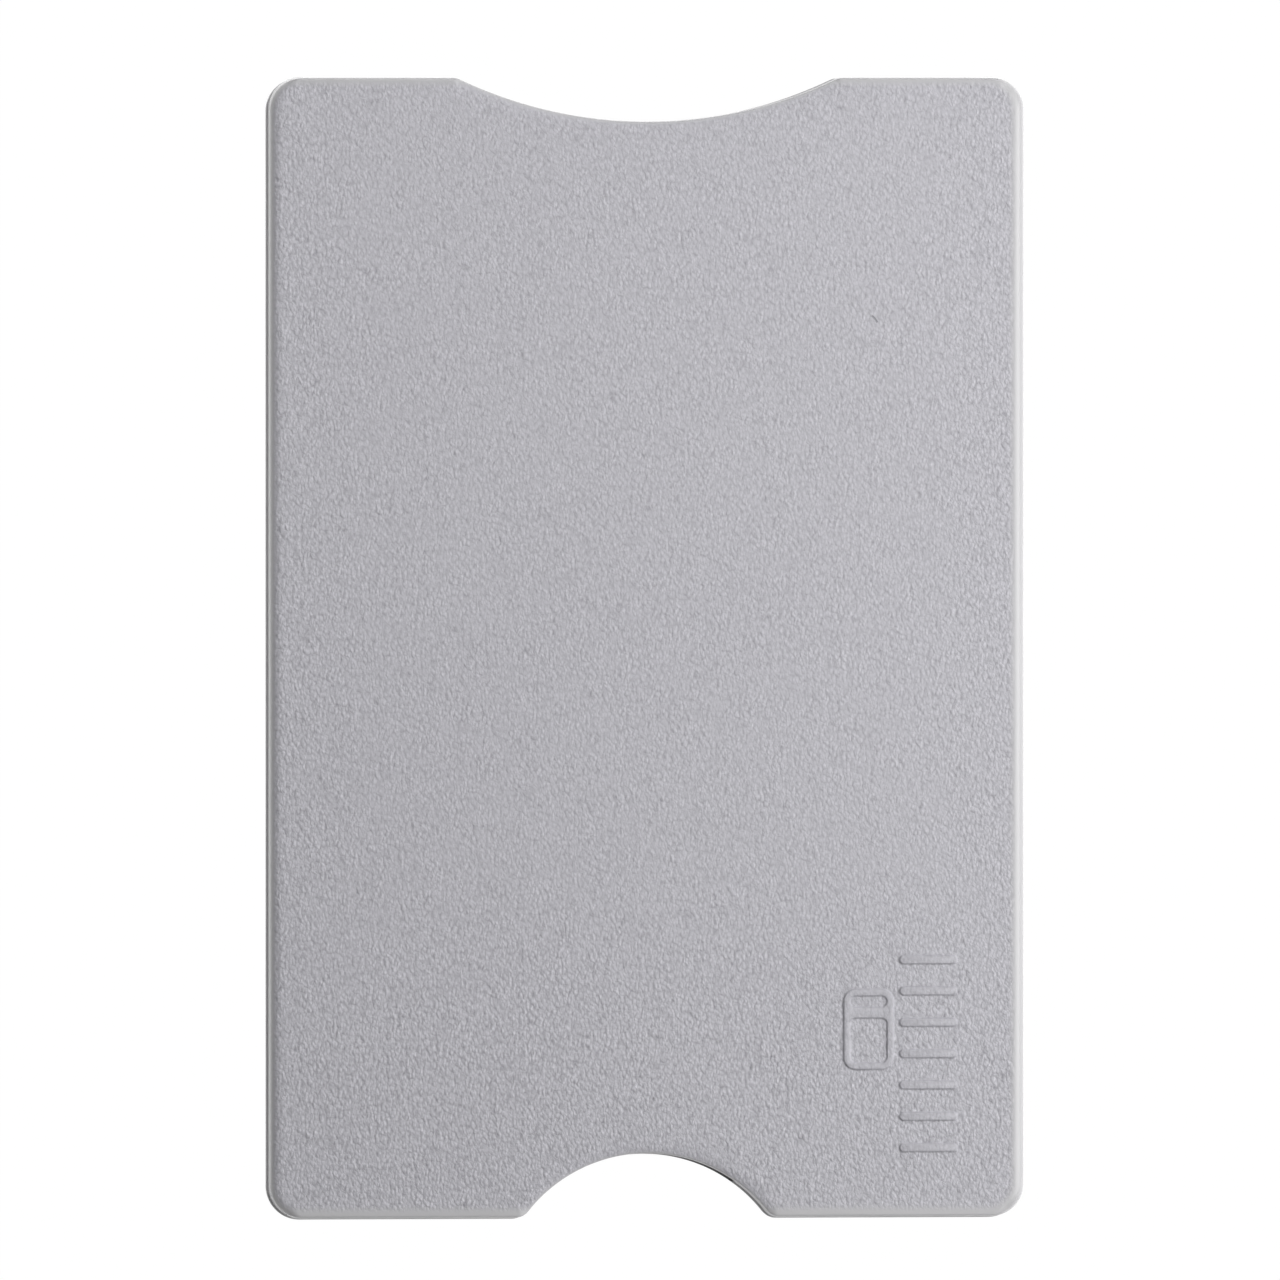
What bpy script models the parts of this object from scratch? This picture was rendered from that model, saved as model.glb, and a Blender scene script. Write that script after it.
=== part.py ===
"""Hard card case: a slim sleeve for one bank-size card, in metres, +Z up.

Two moulded half shells meet at a parting plane and are welded along the side rails and the two
end stops. Between them is the card slot. It is open at the mouth (+Y), where a wide shallow cut
bares the card's edge, and at the closed end a thumb notch lets a thumb push the card out. Each
plate has a shallow pocket with a shielding foil on a film of adhesive.

The case lies on its back face, with its origin at the middle of that face. +X is the width,
+Y points along the length to the mouth, and +Z comes out of the front face.
"""

import math

import bmesh
import bpy
from mathutils import Matrix, Vector

MM = 0.001

# The card that the slot takes: the international credit-card format
CARD_WIDTH = 53.98 * MM
CARD_LENGTH = 85.60 * MM
CARD_OVER_EMBOSSING = 1.24 * MM
CARD_CORNER = 3.18 * MM

# The card's clearances in its slot
CARD_PLAY_ACROSS = 0.92 * MM
CARD_PLAY_THROUGH = 0.26 * MM
CARD_TO_TOP_EDGE = 2.55 * MM

# Moulded walls
RAIL_WIDTH = 2.90 * MM
STOP_WIDTH = 2.95 * MM
PLATE = 1.15 * MM

# Outer form: the face rolls off towards the edge and then turns down with the edge radius
CORNER_RADIUS = 2.70 * MM
EDGE_RADIUS = 0.25 * MM
SIDE_ROLL = 0.98 * MM
SIDE_TILT = math.radians(80)
CUT_ROLL = 0.95 * MM
CUT_TILT = math.radians(24)
END_ROLL = 0.12 * MM
END_TILT = math.radians(5)
SIDE_ROLL_FROM = 0.60
PARTING_BREAK = 0.12 * MM
SLOT_FLOOR_FILLET = 0.30 * MM

# The cut at the mouth and the thumb notch: arc radius, depth, and the convex blend at its ends
MOUTH_RADIUS = 35.10 * MM
MOUTH_DEPTH = 3.50 * MM
MOUTH_BLEND = 1.50 * MM
NOTCH_RADIUS = 12.14 * MM
NOTCH_DEPTH = 5.10 * MM
NOTCH_BLEND = 1.40 * MM
LEAD_IN = 0.45 * MM

# Weld joint: a tongue on the front shell in a groove of the back shell
TONGUE_WIDTH = 0.70 * MM
TONGUE_HEIGHT = 0.45 * MM
TONGUE_CLEARANCE = 0.10 * MM
TONGUE_END_TO_MOUTH = 2.40 * MM
TONGUE_END_TO_NOTCH = 1.60 * MM
PARTING_GAP = 0.04 * MM

# Shielding foil and its adhesive, in a pocket of each plate
POCKET_DEPTH = 0.20 * MM
POCKET_EDGE_TO_RAIL = 1.60 * MM
POCKET_EDGE_TO_MOUTH = 1.60 * MM
POCKET_EDGE_TO_NOTCH = 1.30 * MM
POCKET_CORNER = 1.50 * MM
FOIL_PLAY = 0.30 * MM
FOIL_THICKNESS = 0.08 * MM
ADHESIVE_THICKNESS = 0.05 * MM
ADHESIVE_INSET = 0.50 * MM
LAYER_GAP = 0.01 * MM

# Ribs along the slot's sides, which hold the card off the foil and grip it near the mouth
RIB_WIDTH = 0.80 * MM
RIB_TO_RAIL = 0.35 * MM
RIB_HEIGHT = 0.20 * MM
RIB_TO_STOP = 5.00 * MM
RIB_TO_TOP_EDGE = 9.00 * MM
RIB_RAMP = 1.50 * MM
GRIP_HEIGHT = 0.32 * MM
GRIP_LENGTH = 10.00 * MM

# Raised bars near the lower right corner of the front face
BAR_COUNT = 7
BAR_LENGTH = 4.70 * MM
BAR_WIDTH = 0.75 * MM
BAR_PITCH = 2.50 * MM
BAR_HEIGHT = 0.15 * MM
BAR_FILLET = 0.10 * MM
BARS_TO_SIDE = 7.80 * MM
BARS_TO_CLOSED_END = 13.15 * MM

# How finely round shapes are cut into flats, and how far cutters run past what they cut
SAG = 0.008 * MM
SAME = 0.0005 * MM
EDGE_STEPS = 3
ROLL_STEPS = 5
BREAK_STEPS = 2
PAST = 1.00 * MM
BURIED = 0.10 * MM

SLOT_WIDTH = CARD_WIDTH + CARD_PLAY_ACROSS
SLOT_HEIGHT = CARD_OVER_EMBOSSING + CARD_PLAY_THROUGH
WIDTH = SLOT_WIDTH + 2 * RAIL_WIDTH
LENGTH = STOP_WIDTH + CARD_LENGTH + CARD_TO_TOP_EDGE
THICKNESS = SLOT_HEIGHT + 2 * PLATE
PARTING = THICKNESS / 2
TOP_EDGE = LENGTH / 2
CLOSED_END = -LENGTH / 2
STOP_FACE = CLOSED_END + STOP_WIDTH


def clear_scene():
    for obj in list(bpy.data.objects):
        bpy.data.objects.remove(obj, do_unlink=True)


def new_collection(name):
    collection = bpy.data.collections.new(name)
    bpy.context.scene.collection.children.link(collection)
    return collection


class Station:
    """A place on an outline, with the direction into the material and the edge's roll there."""

    def __init__(self, place, inward):
        self.place = Vector(place)
        self.inward = Vector(inward)
        self.roll = END_ROLL
        self.tilt = END_TILT

    def drawn_in(self, inset):
        return tuple(self.place + self.inward * inset)


def arc(centre_x, centre_y, radius, start, end, hollow=False):
    """Stations from angle start to angle end, in degrees. Their flats stay within SAG of the arc.

    The material lies inside the arc, or outside it if the arc is hollow.
    """
    sweep = abs(math.radians(end - start))
    count = max(3, math.ceil(sweep / (2 * math.acos(1 - SAG / radius))))
    centre = Vector((centre_x, centre_y))
    stations = []
    for i in range(count + 1):
        turn = math.radians(start + (end - start) * i / count)
        out = Vector((math.cos(turn), math.sin(turn)))
        stations.append(Station(centre + out * radius, out if hollow else -out))
    return stations


def drawn_in(stations, inset=0.0):
    """The outline's points, all moved into the material by the same inset."""
    return [station.drawn_in(inset) for station in stations]


def smooth(share):
    share = min(1.0, max(0.0, share))
    return share * share * (3 - 2 * share)


def rolled(stations, roll, tilt, shares):
    """Gives each station its share of a roll, between that of the straight ends and the full one."""
    for station, share in zip(stations, shares):
        station.roll = END_ROLL + (roll - END_ROLL) * share
        station.tilt = END_TILT + (tilt - END_TILT) * share
    return stations


def corner(centre_x, centre_y, start):
    """A corner of the case, whose roll grows as the edge turns from an end towards a side."""
    stations = arc(centre_x, centre_y, CORNER_RADIUS, start, start + 90)
    shares = [smooth(abs(station.inward.x) / SIDE_ROLL_FROM) for station in stations]
    return rolled(stations, SIDE_ROLL, SIDE_TILT, shares)


def round_cut(radius, depth, blend):
    """A round cut in a straight edge that runs along +X with the material above it.

    A small convex arc blends each end of the cut into the edge.
    """
    below = radius - depth
    along = math.sqrt((radius + blend) ** 2 - (below + blend) ** 2)
    turn = math.degrees(math.atan2(below + blend, along))
    entry = arc(-along, blend, blend, -90, -turn)
    bottom = arc(0, -below, radius, 180 - turn, turn, hollow=True)[1:-1]
    leave = arc(along, blend, blend, 180 + turn, 270)
    growing = [smooth(i / (len(entry) - 1)) for i in range(len(entry))]
    shares = growing + [1.0] * len(bottom) + growing[::-1]
    return rolled(entry + bottom + leave, CUT_ROLL, CUT_TILT, shares)


def mouth_edge():
    """The mouth's edge from right to left, with the round cut in its middle."""
    stations = round_cut(MOUTH_RADIUS, MOUTH_DEPTH, MOUTH_BLEND)
    for station in stations:
        station.place = Vector((-station.place.x, TOP_EDGE - station.place.y))
        station.inward = -station.inward
    return stations


def notch_edge():
    """The closed end's edge from left to right, with the thumb notch in its middle."""
    stations = round_cut(NOTCH_RADIUS, NOTCH_DEPTH, NOTCH_BLEND)
    for station in stations:
        station.place = Vector((station.place.x, CLOSED_END + station.place.y))
    return stations


def case_outline():
    """The outline of both shells, anticlockwise from the closed end's left corner."""
    right = WIDTH / 2 - CORNER_RADIUS
    top = TOP_EDGE - CORNER_RADIUS
    bottom = CLOSED_END + CORNER_RADIUS
    return (
        corner(-right, bottom, 180)
        + notch_edge()
        + corner(right, bottom, 270)
        + corner(right, top, 0)
        + mouth_edge()
        + corner(-right, top, 90)
    )


def round_rectangle(left, right, bottom, top, radius):
    stations = (
        arc(left + radius, bottom + radius, radius, 180, 270)
        + arc(right - radius, bottom + radius, radius, 270, 360)
        + arc(right - radius, top - radius, radius, 0, 90)
        + arc(left + radius, top - radius, radius, 90, 180)
    )
    return drawn_in(stations)


def edge_section(station):
    """Pairs of inset and drop below the face: up the edge radius and then over the roll."""
    roll_radius = station.roll / math.sin(station.tilt)
    roll_drop = roll_radius * (1 - math.cos(station.tilt))
    width = station.roll + EDGE_RADIUS * (1 - math.sin(station.tilt))
    section = []
    for i in range(EDGE_STEPS + 1):
        turn = math.pi / 2 + (station.tilt - math.pi / 2) * i / EDGE_STEPS
        drop = roll_drop + EDGE_RADIUS * (math.cos(station.tilt) - math.cos(turn))
        section.append((EDGE_RADIUS * (1 - math.sin(turn)), drop))
    for i in range(1, ROLL_STEPS + 1):
        turn = station.tilt * (1 - i / ROLL_STEPS)
        section.append((width - roll_radius * math.sin(turn), roll_radius * (1 - math.cos(turn))))
    return section


def loft_shell(name, meeting, face):
    """A closed half: from the parting break up the wall, over the rolled edge to the flat face."""
    out = 1 if face > meeting else -1
    outline = case_outline()
    sections = [edge_section(station) for station in outline]
    levels = [
        [(PARTING_BREAK, meeting)] * len(outline),
        [(0.0, meeting + out * PARTING_BREAK)] * len(outline),
    ]
    levels += [[(inset, face - out * drop) for inset, drop in steps] for steps in zip(*sections)]
    solid = bmesh.new()
    rings = [
        [solid.verts.new((*station.drawn_in(inset), z)) for station, (inset, z) in zip(outline, level)]
        for level in levels
    ]
    for low, high in zip(rings, rings[1:]):
        for i in range(len(outline)):
            solid.faces.new((low[i - 1], low[i], high[i], high[i - 1]))
    solid.faces.new(rings[0])
    solid.faces.new(rings[-1])
    bmesh.ops.recalc_face_normals(solid, faces=solid.faces)
    mesh = bpy.data.meshes.new(name)
    solid.to_mesh(mesh)
    solid.free()
    return mesh


def extrude(name, points, low, high, matrix=Matrix()):
    """A closed solid from low to high over a flat outline.

    An extruded 2D curve gives the wall. Each rim is then closed with one flat face, which takes
    a bevel and a Boolean better than the triangles of the curve's own fill.
    """
    curve = bpy.data.curves.new(name, "CURVE")
    curve.dimensions = "2D"
    curve.fill_mode = "NONE"
    curve.extrude = (high - low) / 2
    spline = curve.splines.new("POLY")
    spline.points.add(len(points) - 1)
    for point, (x, y) in zip(spline.points, points):
        point.co = (x, y, 0, 1)
    spline.use_cyclic_u = True
    drawn = bpy.data.objects.new(name, curve)
    bpy.context.scene.collection.objects.link(drawn)
    bpy.context.view_layer.update()
    mesh = bpy.data.meshes.new_from_object(
        drawn.evaluated_get(bpy.context.evaluated_depsgraph_get())
    )
    bpy.data.objects.remove(drawn)
    bpy.data.curves.remove(curve)
    solid = bmesh.new()
    solid.from_mesh(mesh)
    bmesh.ops.remove_doubles(solid, verts=solid.verts, dist=SAME)
    bmesh.ops.holes_fill(solid, edges=solid.edges, sides=0)
    bmesh.ops.translate(solid, vec=(0, 0, (low + high) / 2), verts=solid.verts)
    bmesh.ops.transform(solid, matrix=matrix, verts=solid.verts)
    bmesh.ops.recalc_face_normals(solid, faces=solid.faces)
    solid.to_mesh(mesh)
    solid.free()
    mesh.name = name
    return mesh


def round_rim(mesh, level, radius, segments):
    """Rounds the edges that lie in the plane z = level, or chamfers them with one segment.

    The bevel compares lengths with tolerances meant for large models, so it works in millimetres.
    """
    solid = bmesh.new()
    solid.from_mesh(mesh)
    bmesh.ops.scale(solid, vec=Vector.Fill(3, 1 / MM), verts=solid.verts)
    rim = [e for e in solid.edges if all(abs(v.co.z * MM - level) < SAME for v in e.verts)]
    bmesh.ops.bevel(
        solid,
        geom=rim,
        offset=radius / MM,
        offset_type="OFFSET",
        segments=segments,
        profile=0.5,
        affect="EDGES",
    )
    bmesh.ops.scale(solid, vec=Vector.Fill(3, MM), verts=solid.verts)
    solid.to_mesh(mesh)
    solid.free()


def add_piece(collection, mesh, colour, roughness, metallic):
    material = bpy.data.materials.new(mesh.name)
    material.use_nodes = True
    shader = material.node_tree.nodes["Principled BSDF"]
    shader.inputs["Base Color"].default_value = (*colour, 1)
    shader.inputs["Roughness"].default_value = roughness
    shader.inputs["Metallic"].default_value = metallic
    mesh.materials.clear()
    mesh.materials.append(material)
    mesh.shade_smooth()
    mesh.set_sharp_from_angle(angle=math.radians(30))
    piece = bpy.data.objects.new(mesh.name, mesh)
    collection.objects.link(piece)
    return piece


def add_tool(collection, mesh):
    """A helper shape for a Boolean, which isn't part of the object."""
    tool = bpy.data.objects.new(mesh.name, mesh)
    tool.display_type = "WIRE"
    tool.hide_render = True
    collection.objects.link(tool)
    return tool


def combine(piece, tool, operation):
    boolean = piece.modifiers.new(tool.name, "BOOLEAN")
    boolean.operation = operation
    boolean.solver = "EXACT"
    boolean.object = tool


def slot_tool(tools):
    """The card slot in both shells, open at the mouth, with filleted floors."""
    outline = round_rectangle(
        -SLOT_WIDTH / 2, SLOT_WIDTH / 2, STOP_FACE, TOP_EDGE + CARD_CORNER + PAST, CARD_CORNER
    )
    mesh = extrude("slot_cutter", outline, PLATE, THICKNESS - PLATE)
    round_rim(mesh, PLATE, SLOT_FLOOR_FILLET, BREAK_STEPS)
    round_rim(mesh, THICKNESS - PLATE, SLOT_FLOOR_FILLET, BREAK_STEPS)
    return add_tool(tools, mesh)


def lead_in_tool(tools):
    """A plug with chamfered rims that flares the slot along the mouth's edge in both plates.

    The chamfers run past the plates' faces, so that no edge of the plug lies in a face.
    """
    inset = LEAD_IN + BURIED
    chamfer = LEAD_IN + 2 * BURIED
    reach = SLOT_WIDTH / 2 - BURIED
    edge = TOP_EDGE - inset
    outline = [(reach, edge), *drawn_in(mouth_edge(), inset), (-reach, edge)]
    outline += [(-reach, TOP_EDGE + PAST), (reach, TOP_EDGE + PAST)]
    low = PLATE - LEAD_IN - BURIED
    high = THICKNESS - low
    mesh = extrude("lead_in_cutter", outline, low, high)
    round_rim(mesh, low, chamfer, 1)
    round_rim(mesh, high, chamfer, 1)
    return add_tool(tools, mesh)


def foil_area(play, corner):
    """The foil pocket's outline, drawn in by play."""
    side = SLOT_WIDTH / 2 - POCKET_EDGE_TO_RAIL - play
    bottom = CLOSED_END + NOTCH_DEPTH + POCKET_EDGE_TO_NOTCH + play
    top = TOP_EDGE - MOUTH_DEPTH - POCKET_EDGE_TO_MOUTH - play
    return round_rectangle(-side, side, bottom, top, corner - play)


def rail_line(inset, end_y, end_x):
    """A line inside the left rail and round the corner into the end stop, inset from the outline."""
    bend = arc(-WIDTH / 2 + CORNER_RADIUS, CLOSED_END + CORNER_RADIUS, CORNER_RADIUS, 180, 270)
    return [(-WIDTH / 2 + inset, end_y), *drawn_in(bend, inset), (end_x, CLOSED_END + inset)]


def weld_path(width, play):
    """The weld joint's left half seen from above: an L along the rail and the end stop."""
    middle = RAIL_WIDTH / 2
    end_y = TOP_EDGE - TONGUE_END_TO_MOUTH + play
    notch_half = math.sqrt(NOTCH_RADIUS**2 - (NOTCH_RADIUS - NOTCH_DEPTH) ** 2)
    end_x = -notch_half - TONGUE_END_TO_NOTCH + play
    outer = rail_line(middle - width / 2, end_y, end_x)
    inner = rail_line(middle + width / 2, end_y, end_x)
    return outer + inner[::-1]


def weld_tools(tools, name, width, play, low, high):
    """The L of the weld joint and its mirror image on the right."""
    left = weld_path(width, play)
    right = [(-x, y) for x, y in reversed(left)]
    return [
        add_tool(tools, extrude(f"{name}_left", left, low, high)),
        add_tool(tools, extrude(f"{name}_right", right, low, high)),
    ]


def rib_tools(tools, front):
    """Two ribs along the sides of one plate, each with ramped ends and a higher grip stretch."""
    start = STOP_FACE + RIB_TO_STOP
    end = TOP_EDGE - RIB_TO_TOP_EDGE
    grip = end - GRIP_LENGTH
    side = [
        (start, PLATE - BURIED),
        (end, PLATE - BURIED),
        (end, PLATE),
        (end - RIB_RAMP, PLATE + GRIP_HEIGHT),
        (grip, PLATE + GRIP_HEIGHT),
        (grip - RIB_RAMP, PLATE + RIB_HEIGHT),
        (start + RIB_RAMP, PLATE + RIB_HEIGHT),
        (start, PLATE),
    ]
    if front:
        side = [(y, THICKNESS - z) for y, z in reversed(side)]
    middle = SLOT_WIDTH / 2 - RIB_TO_RAIL - RIB_WIDTH / 2
    # A drawing whose x runs along the case and whose y is its height
    upright = Matrix.Rotation(math.radians(90), 4, "Z") @ Matrix.Rotation(math.radians(90), 4, "X")
    found = []
    for where, x in (("left", -middle), ("right", middle)):
        name = f"{'front' if front else 'back'}_rib_{where}"
        mesh = extrude(name, side, x - RIB_WIDTH / 2, x + RIB_WIDTH / 2, upright)
        found.append(add_tool(tools, mesh))
    return found


def bar_tools(tools):
    """The raised bars on the front face: short round-ended strokes, one above the other."""
    x = WIDTH / 2 - BARS_TO_SIDE
    reach = (BAR_LENGTH - BAR_WIDTH) / 2
    found = []
    for i in range(BAR_COUNT):
        y = CLOSED_END + BARS_TO_CLOSED_END - (BAR_COUNT - 1) * BAR_PITCH / 2 + i * BAR_PITCH
        ends = arc(x + reach, y, BAR_WIDTH / 2, -90, 90) + arc(x - reach, y, BAR_WIDTH / 2, 90, 270)
        mesh = extrude(f"bar_{i + 1}", drawn_in(ends), THICKNESS - BURIED, THICKNESS + BAR_HEIGHT)
        round_rim(mesh, THICKNESS + BAR_HEIGHT, BAR_FILLET, BREAK_STEPS)
        found.append(add_tool(tools, mesh))
    return found


def plastic_shell(case, name, meeting, face):
    """One half before anything is cut in it."""
    return add_piece(case, loft_shell(name, meeting, face), (0.43, 0.43, 0.45), 0.42, 0.0)


def make_shells(case, tools):
    slot = slot_tool(tools)
    lead_in = lead_in_tool(tools)
    pocket_floor = PLATE - POCKET_DEPTH
    rim_back = PARTING - PARTING_GAP / 2
    rim_front = PARTING + PARTING_GAP / 2

    back = plastic_shell(case, "back_shell", rim_back, 0)
    back_pocket = extrude("back_pocket_cutter", foil_area(0, POCKET_CORNER), pocket_floor, PARTING)
    groove_floor = PARTING - TONGUE_HEIGHT - TONGUE_CLEARANCE
    grooves = weld_tools(
        tools,
        "groove",
        TONGUE_WIDTH + 2 * TONGUE_CLEARANCE,
        TONGUE_CLEARANCE,
        groove_floor,
        PARTING + PAST,
    )
    for tool in (slot, lead_in, add_tool(tools, back_pocket), *grooves):
        combine(back, tool, "DIFFERENCE")
    for rib in rib_tools(tools, front=False):
        combine(back, rib, "UNION")

    front = plastic_shell(case, "front_shell", rim_front, THICKNESS)
    front_pocket = extrude(
        "front_pocket_cutter", foil_area(0, POCKET_CORNER), PARTING, THICKNESS - pocket_floor
    )
    for tool in (slot, lead_in, add_tool(tools, front_pocket)):
        combine(front, tool, "DIFFERENCE")
    tongues = weld_tools(
        tools, "tongue", TONGUE_WIDTH, 0, PARTING - TONGUE_HEIGHT, rim_front + BURIED
    )
    for tool in (*tongues, *rib_tools(tools, front=True), *bar_tools(tools)):
        combine(front, tool, "UNION")


def make_layers(case):
    """The adhesive film and the foil on it, in the pocket of each plate."""
    film_low = PLATE - POCKET_DEPTH + LAYER_GAP
    film_high = film_low + ADHESIVE_THICKNESS
    foil_low = film_high + LAYER_GAP
    foil_high = foil_low + FOIL_THICKNESS
    film = foil_area(FOIL_PLAY + ADHESIVE_INSET, POCKET_CORNER)
    foil = foil_area(FOIL_PLAY, POCKET_CORNER)
    for side, flip in (("back", False), ("front", True)):
        for name, outline, low, high, look in (
            ("foil_adhesive", film, film_low, film_high, ((0.80, 0.78, 0.70), 0.35, 0.0)),
            ("shield_foil", foil, foil_low, foil_high, ((0.80, 0.81, 0.82), 0.28, 1.0)),
        ):
            if flip:
                low, high = THICKNESS - high, THICKNESS - low
            add_piece(case, extrude(f"{side}_{name}", outline, low, high), *look)


def main():
    clear_scene()
    case = new_collection("hard_card_case")
    tools = new_collection("cutters")
    make_shells(case, tools)
    make_layers(case)


main()
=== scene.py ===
# %% [markdown]
# # A hard card case
#
# This is a slim sleeve for one bank-size card. It is two moulded half shells of silver-grey
# plastic, welded along their side rails, with a foil liner in each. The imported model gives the
# frame: every size below either comes from its boxes or is a moulding size with its own name.
#
# The case is small, and its beauty is in small things: a fine spark-eroded grain that fades out at
# the edges, soft fillets, the parting line and some low relief. So the shells are built anew
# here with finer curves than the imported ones, and the finish is worked out in millimetres.

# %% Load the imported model
import math

import bmesh
import bpy
from mathutils import Matrix, Vector


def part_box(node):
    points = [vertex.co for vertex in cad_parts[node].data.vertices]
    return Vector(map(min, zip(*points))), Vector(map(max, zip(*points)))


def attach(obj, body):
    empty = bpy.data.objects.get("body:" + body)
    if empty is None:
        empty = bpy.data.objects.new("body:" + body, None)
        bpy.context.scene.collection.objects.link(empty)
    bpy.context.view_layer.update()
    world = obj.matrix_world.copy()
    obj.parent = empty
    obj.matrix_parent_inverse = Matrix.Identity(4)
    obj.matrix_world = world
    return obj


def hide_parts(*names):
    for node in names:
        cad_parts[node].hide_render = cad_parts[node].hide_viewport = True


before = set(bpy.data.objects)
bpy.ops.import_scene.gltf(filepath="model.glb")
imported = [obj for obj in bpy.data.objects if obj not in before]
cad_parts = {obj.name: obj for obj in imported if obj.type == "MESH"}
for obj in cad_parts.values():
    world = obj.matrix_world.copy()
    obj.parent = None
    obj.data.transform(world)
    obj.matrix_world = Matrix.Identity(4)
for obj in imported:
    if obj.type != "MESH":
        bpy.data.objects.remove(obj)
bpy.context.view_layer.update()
MM = 0.001
print("nodes:", sorted(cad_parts))

# %% [markdown]
# ## Sizes
#
# The front shell's box gives the width, the length and the height of the relief. The thickness
# without relief comes from the back shell and the parting gap. The rest are sizes that a mould
# maker would write on the drawing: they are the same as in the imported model, so that each new
# piece lies exactly where its node is.

# %% Sizes from the frame and from the drawing
front_low, front_high = (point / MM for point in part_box("front_shell"))
back_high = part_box("back_shell")[1] / MM
PARTING_GAP = 0.04
WIDTH = front_high.x - front_low.x
LENGTH = front_high.y - front_low.y
PARTING = back_high.z + PARTING_GAP / 2
BACK_RIM, FRONT_RIM = PARTING - PARTING_GAP / 2, PARTING + PARTING_GAP / 2
THICKNESS = 2 * PARTING
RELIEF = front_high.z - THICKNESS
TOP_EDGE = front_high.y
CLOSED_END = front_low.y

RAIL = 2.90
STOP = 2.95
PLATE = 1.15
CORNER = 2.70
PARTING_BREAK = 0.12
SLOT_WIDTH = WIDTH - 2 * RAIL
SLOT_CORNER = 3.18
SLOT_FLOOR_FILLET = 0.30
STOP_FACE = CLOSED_END + STOP

MOUTH_RADIUS, MOUTH_DEPTH, MOUTH_BLEND = 35.10, 3.50, 1.50
NOTCH_RADIUS, NOTCH_DEPTH, NOTCH_BLEND = 12.14, 5.10, 1.40
print(f"case {WIDTH:.2f} x {LENGTH:.2f} x {THICKNESS:.2f} mm, relief {RELIEF:.2f} mm high")

# %% [markdown]
# ## The outline
#
# Both shells share one outline: four round corners, a wide shallow cut at the mouth and a thumb
# notch at the closed end. It could be a bezier curve with a bevel, but the edge's section changes
# on its way round, so each point needs to know which way is in. The outline is therefore a list of
# stations. A station holds its place, the direction into the plastic, and how softly the edge is
# rolled there. Drawing an outline in by an inset is then a single step along that direction.
# Two moulds never match to the last hundredth, so each shell is a hair smaller than the case and
# is shifted to its own side. That leaves a fine ledge at the parting line.

# %% Stations along arcs
FLATNESS = 0.0015
FEWEST_STEPS = 4


class Station:
    """A place on an outline in millimetres, with the direction into the plastic."""

    def __init__(self, place, inward):
        self.place = Vector(place)
        self.inward = Vector(inward)
        self.roll = 0.0
        self.tilt = 0.0

    def drawn_in(self, inset):
        return self.place + self.inward * inset


def arc(centre, radius, start, end, hollow=False):
    """Stations on an arc, in degrees. On a hollow arc the plastic lies outside it."""
    sweep = math.radians(abs(end - start))
    count = max(FEWEST_STEPS, math.ceil(sweep / (2 * math.acos(1 - FLATNESS / radius))))
    stations = []
    for i in range(count + 1):
        turn = math.radians(start + (end - start) * i / count)
        out = Vector((math.cos(turn), math.sin(turn)))
        stations.append(Station(Vector(centre) + out * radius, out if hollow else -out))
    return stations


def drawn_in(stations, inset=0.0):
    """The outline's points, all moved into the plastic by the same inset."""
    return [station.drawn_in(inset) for station in stations]


def round_box(left, right, bottom, top, corner):
    return (
        arc((left + corner, bottom + corner), corner, 180, 270)
        + arc((right - corner, bottom + corner), corner, 270, 360)
        + arc((right - corner, top - corner), corner, 0, 90)
        + arc((left + corner, top - corner), corner, 90, 180)
    )


print("stations round one corner of the case:", len(arc((0, 0), CORNER, 0, 90)))

# %% [markdown]
# ## How the edge is rolled
#
# The edge isn't the same all the way round. Along the two long sides the face rolls off over a
# full millimetre before it turns down into the wall, which is what makes the case slide into a
# pocket. Round the two cuts it rolls off more gently, as a seat for a fingertip. The straight
# ends have only the small radius that every moulded edge has. In the corners one passes smoothly
# into the other. A roll's slope grows slowly at first and faster towards the wall, because the
# photograph's shading sets in that gently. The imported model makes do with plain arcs.

# %% Rolls and the case's outline
SIDE_ROLL, SIDE_TILT = 0.98, math.radians(80)
CUT_ROLL, CUT_TILT = 0.95, math.radians(22)
END_ROLL, END_TILT = 0.08, math.radians(5)
SIDE_ROLL_FROM = 0.60


def smooth(share):
    share = min(1.0, max(0.0, share))
    return share * share * (3 - 2 * share)


def rolled(stations, roll, tilt, shares):
    """Gives each station its share of a roll, from that of the straight ends to the full one."""
    for station, share in zip(stations, shares):
        station.roll = END_ROLL + (roll - END_ROLL) * share
        station.tilt = END_TILT + (tilt - END_TILT) * share
    return stations


def corner(centre, start):
    """A corner of the case. Its roll grows as the edge turns from an end towards a side."""
    stations = arc(centre, CORNER, start, start + 90)
    shares = [smooth(abs(station.inward.x) / SIDE_ROLL_FROM) for station in stations]
    return rolled(stations, SIDE_ROLL, SIDE_TILT, shares)


def round_cut(radius, depth, blend):
    """A round cut in a straight edge along +X, with plastic above it and a blend at each end."""
    below = radius - depth
    along = math.sqrt((radius + blend) ** 2 - (below + blend) ** 2)
    turn = math.degrees(math.atan2(below + blend, along))
    entry = arc((-along, blend), blend, -90, -turn)
    bottom = arc((0, -below), radius, 180 - turn, turn, hollow=True)[1:-1]
    leaving = arc((along, blend), blend, 180 + turn, 270)
    growing = [smooth(i / (len(entry) - 1)) for i in range(len(entry))]
    shares = growing + [1.0] * len(bottom) + growing[::-1]
    return rolled(entry + bottom + leaving, CUT_ROLL, CUT_TILT, shares)


def mouth_edge():
    """The mouth's cut from right to left: a cut turned by half a turn and moved to the top."""
    stations = round_cut(MOUTH_RADIUS, MOUTH_DEPTH, MOUTH_BLEND)
    for station in stations:
        station.place = Vector((-station.place.x, TOP_EDGE - station.place.y))
        station.inward = -station.inward
    return stations


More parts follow.
